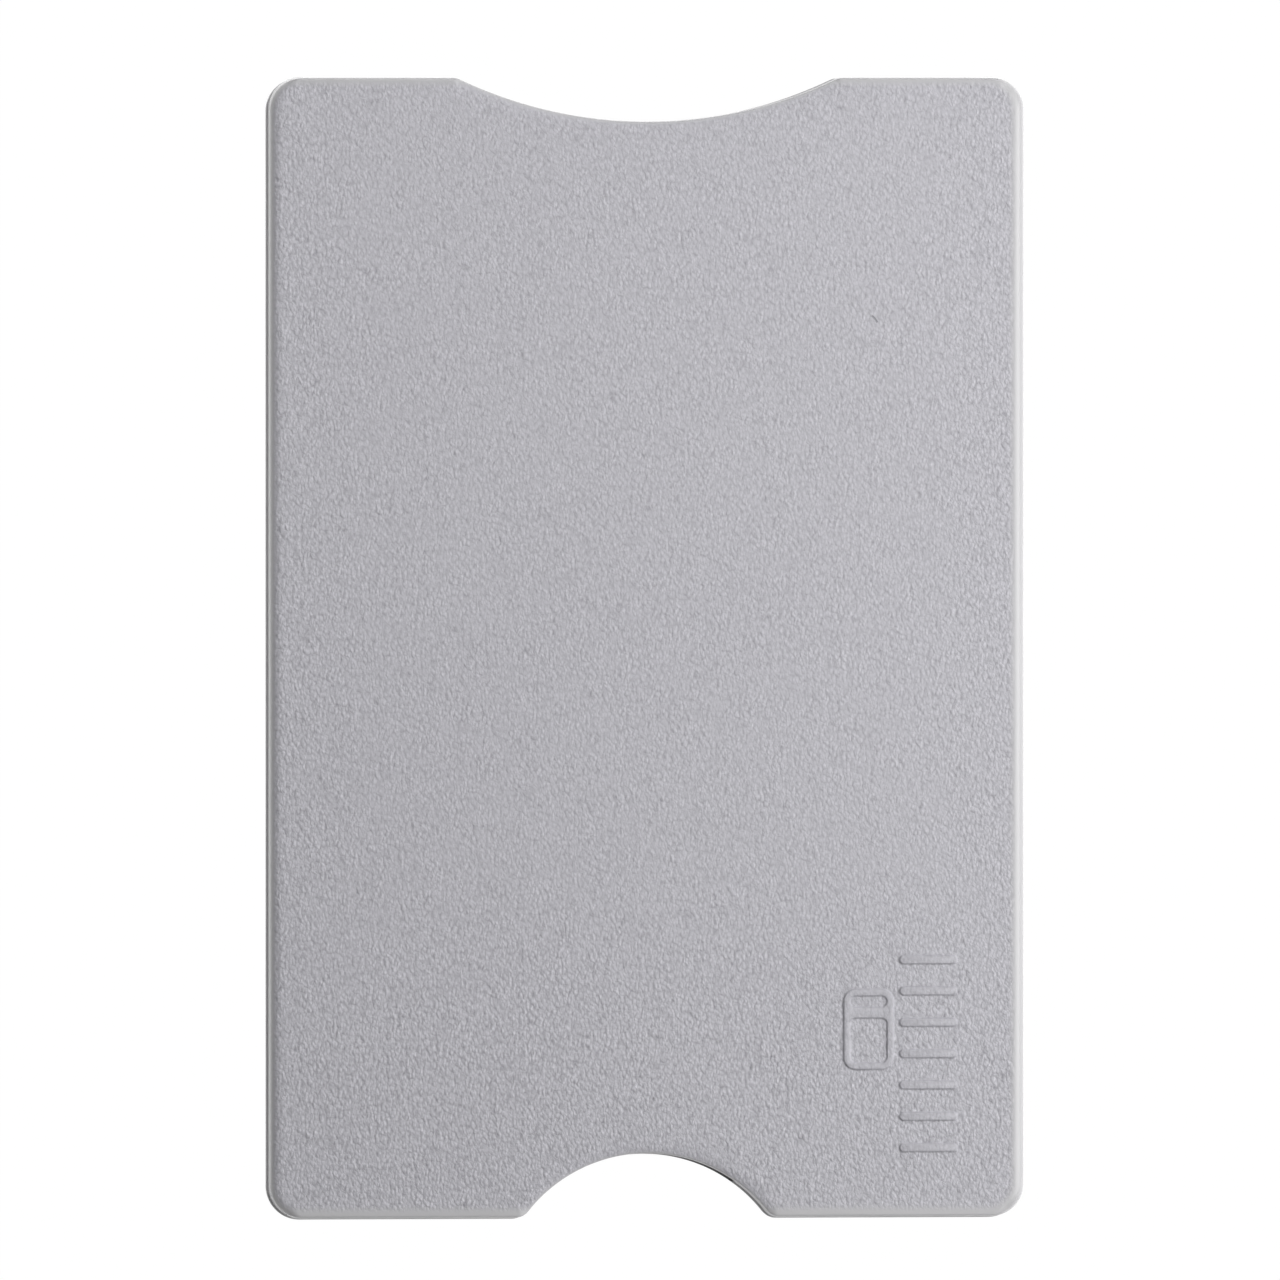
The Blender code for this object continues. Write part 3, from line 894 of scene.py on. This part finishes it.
def grained_plastic():
    material, shader, place = new_finish("silver_grey_plastic")
    x, y, z = place.parts()
    grained = grain_mask(x, y, z)
    on_relief = z.step(THICKNESS, THICKNESS + RELIEF / 3)
    depth = grain_depth(place, x, y, grained, on_relief)
    pebbles = pebbled(place)
    ripple = place.noise(0.9, 1.0, 0.5)
    nick = nick_at(x, y) * z.step(THICKNESS - NICK_FROM, THICKNESS - NICK_FULL)
    rise = pebbles * PEBBLE_RISE + ripple * RIPPLE_RISE - MEAN_RISE
    height = rise * depth * (1 - nick * NICK_RUBBED) - nick * NICK_DEPTH

    cloud = place.noise(0.06, 2.0, 0.6).step(0.3, 0.7)
    # Painted shade and light: the colour follows the grain's height, darker in the pits and lighter
    # on the tops. The nick is darker as well.
    pit_shade_and_nick = pebbles * depth + 0.5 * (1 - depth) - nick * NICK_DARK
    grain_with_painted_shade = pit_shade_and_nick.mixed(PLASTIC_SHADED_PIT, PLASTIC_LIT_PEAK)
    colour = grained.mixed(PLASTIC_EDGE, grain_with_painted_shade)
    colour = (cloud * CLOUD_SHARE).mixed(colour, PLASTIC_CLOUD)

    end_wall = (CLOSED_END + NOTCH_DEPTH + END_WALL_REACH - y).step(0, END_WALL_FADE)
    end_wall = end_wall * (WIDTH / 2 - END_WALL_TO_SIDE - abs(x)).step(0, END_WALL_SIDE_FADE)
    rolled_off = abs(z - PARTING).step(PARTING - ROLL_FROM, PARTING - ROLL_FULL)
    smooth_part = SATIN + (end_wall * DULL_WALL).most(rolled_off * DULL_ROLL)
    on_flank = on_relief * (THICKNESS + RELIEF - z).step(FLANK_FROM, FLANK_FULL)
    grained_part = GRAIN_ROUGHNESS + pebbles * PEBBLE_ROUGHNESS - on_flank * FLANK_SHINE
    roughness = smooth_part * (1 - grained) + grained_part * grained + cloud * CLOUD_ROUGHNESS
    bumps = height.bumps(1.0, GRAIN_HEIGHT)
    feed(shader, {"Base Color": colour, "Roughness": roughness, "Normal": bumps})
    return material


plastic = grained_plastic()
for piece in (front_half, back_half):
    wear(piece, plastic)
print("plastic nodes:", len(plastic.node_tree.nodes))

# %% [markdown]
# ## Foil and adhesive
#
# The liners are flat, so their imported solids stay. Thin aluminium foil shows rolling lines along
# its length and faint creases where it was pressed into the pocket. The adhesive film behind it
# is milky and slightly uneven.

# %% Foil and film
FOIL = (0.80, 0.81, 0.82, 1)
FOIL_DULL = (0.70, 0.71, 0.72, 1)
FILM = (0.80, 0.78, 0.70, 1)
FILM_MILKY = (0.88, 0.87, 0.82, 1)
FOIL_RELIEF, FILM_RELIEF = 0.02 * MM, 0.01 * MM


def rolled_foil():
    material, shader, place = new_finish("rolled_foil")
    lines = place.stretched((9.0, 0.25, 1.0)).noise(1.0, 3.0, 0.6)
    creases = abs(place.noise(0.35, 3.0, 0.6, 0.8) - 0.5).step(0.0, 0.05)
    bumps = (creases * 0.7 + lines * 0.3).bumps(0.6, FOIL_RELIEF)
    feed(shader, {"Base Color": lines.mixed(FOIL_DULL, FOIL), "Metallic": 1.0})
    feed(shader, {"Roughness": 0.22 + lines * 0.16, "Normal": bumps})
    return material


def milky_film():
    material, shader, place = new_finish("milky_film")
    uneven = place.noise(0.8, 3.0, 0.6)
    feed(shader, {"Base Color": uneven.mixed(FILM, FILM_MILKY)})
    feed(shader, {"Roughness": 0.28 + uneven * 0.2, "Normal": uneven.bumps(0.4, FILM_RELIEF)})
    return material


foil, film = rolled_foil(), milky_film()
for side in ("front", "back"):
    wear(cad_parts[f"{side}_shield_foil"], foil)
    wear(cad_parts[f"{side}_foil_adhesive"], film)
print("liner materials:", foil.name, "and", film.name)

# %% [markdown]
# ## The camera
#
# The photograph looks straight down on the front face, with the mouth at the top. It was taken
# from far away: the sides stay parallel, and of the four walls only the left one shows, as a
# thin line, so the camera stands a few degrees to the left. A very long lens gives that look.

# %% Camera
FRAME_PIXELS = 1280
PIXELS_PER_MM = 12.545
CENTRE_AT_PIXEL = (647.5, 648.2)
LENS = 1000.0
SENSOR = 36.0
LEAN_LEFT = math.radians(6.5)
LEAN_UP = math.radians(1.0)
SEES_AS_FAR_AS = 10.0

seen_width = FRAME_PIXELS / PIXELS_PER_MM * MM
distance = seen_width * LENS / SENSOR
middle = Vector(
    (
        (FRAME_PIXELS / 2 - CENTRE_AT_PIXEL[0]) / PIXELS_PER_MM * MM,
        (CENTRE_AT_PIXEL[1] - FRAME_PIXELS / 2) / PIXELS_PER_MM * MM,
        THICKNESS * MM,
    )
)
towards_camera = Vector((-math.tan(LEAN_LEFT), math.tan(LEAN_UP), 1.0)).normalized()
camera_data = bpy.data.cameras.new("camera")
camera_data.lens = LENS
camera_data.sensor_width = SENSOR
camera_data.clip_end = SEES_AS_FAR_AS
camera = bpy.data.objects.new("camera", camera_data)
camera.location = middle + towards_camera * distance
up = Vector((0, 1, 0))
right = up.cross(towards_camera).normalized()
true_up = towards_camera.cross(right)
camera.rotation_mode = "QUATERNION"
camera.rotation_quaternion = Matrix((right, true_up, towards_camera)).transposed().to_quaternion()
bpy.context.scene.collection.objects.link(camera)
bpy.context.scene.camera = camera
print(f"camera {distance:.2f} m away")

# %% [markdown]
# ## The table and the light
#
# The case lies on a white table in soft light. Half of it comes from a softbox high on the right.
# Weaker ones stand lower on the right, beyond the mouth and beyond the closed end, so that each
# wall and fillet gets a tone of its own. In the photograph the table is burnt out to pure white
# and no shadow is left. So two planes share the table's place: the one that the camera sees glows
# evenly, and the one that the case sees is a matt white that glows a little itself and lights the
# walls from below. A softbox's distance and size are in metres, and its power is in watts.

# %% The table and the room
TABLE_REACH = 3.0
WHITE_TABLE_HEIGHT, MATT_TABLE_HEIGHT = -0.05 * MM, -0.02 * MM
ROOM_LIGHT = 0.10


def plain_material(name, colour, glow):
    material = bpy.data.materials.new(name)
    material.use_nodes = True
    shader = material.node_tree.nodes["Principled BSDF"]
    feed(shader, {"Base Color": colour, "Roughness": 0.9, "Specular IOR Level": 0.1})
    feed(shader, {"Emission Color": (1, 1, 1, 1), "Emission Strength": glow})
    return material


def show_only_to_camera(obj):
    obj.visible_diffuse = False
    obj.visible_glossy = False
    obj.visible_transmission = False
    obj.visible_shadow = False


def table_plane(name, height, material):
    solid = bmesh.new()
    bmesh.ops.create_grid(solid, x_segments=4, y_segments=4, size=TABLE_REACH)
    bmesh.ops.translate(solid, vec=(0, 0, height), verts=solid.verts)
    obj = bpy.data.objects.new(name, as_mesh(solid, name))
    bpy.context.scene.collection.objects.link(obj)
    wear(obj, material)
    return obj


burnt_white = plain_material("burnt_white", (0, 0, 0, 1), 1.0)
white_table = table_plane("white_table", WHITE_TABLE_HEIGHT, burnt_white)
show_only_to_camera(white_table)
matt_white = plain_material("matt_white", (0.90, 0.90, 0.90, 1), 0.50)
matt_table = table_plane("matt_table", MATT_TABLE_HEIGHT, matt_white)
matt_table.visible_camera = False

world = bpy.data.worlds.new("studio")
world.use_nodes = True
feed(world.node_tree.nodes["Background"], {"Color": (1, 1, 1, 1), "Strength": ROOM_LIGHT})
bpy.context.scene.world = world
print("table planes:", white_table.name, "and", matt_table.name)


# %% Softboxes
def softbox(name, azimuth, elevation, away, size, power):
    """A square light, placed by its compass angle from +X and its height angle in degrees."""
    turn, rise = math.radians(azimuth), math.radians(elevation)
    direction = Vector(
        (math.cos(turn) * math.cos(rise), math.sin(turn) * math.cos(rise), math.sin(rise))
    )
    data = bpy.data.lights.new(name, "AREA")
    data.shape = "SQUARE"
    data.size = size
    data.energy = power
    lamp = bpy.data.objects.new(name, data)
    lamp.location = direction * away
    lamp.rotation_mode = "QUATERNION"
    lamp.rotation_quaternion = direction.to_track_quat("Z", "Y")
    bpy.context.scene.collection.objects.link(lamp)


softbox("key_softbox", 358, 50, 0.30, 0.20, 0.71)
softbox("side_softbox", 350, 30, 0.35, 0.24, 0.22)
softbox("upper_right_softbox", 48, 30, 0.34, 0.24, 0.15)
softbox("upper_softbox", 105, 50, 0.28, 0.20, 0.32)
softbox("low_softbox", 350, 9, 0.60, 0.30, 0.54)
softbox("lower_softbox", 265, 15, 0.50, 0.30, 0.15)

view = bpy.context.scene.view_settings
view.view_transform = "Standard"
view.look = "None"
view.exposure = 0.0
view.gamma = 1.0
print("softboxes:", len(bpy.data.lights))
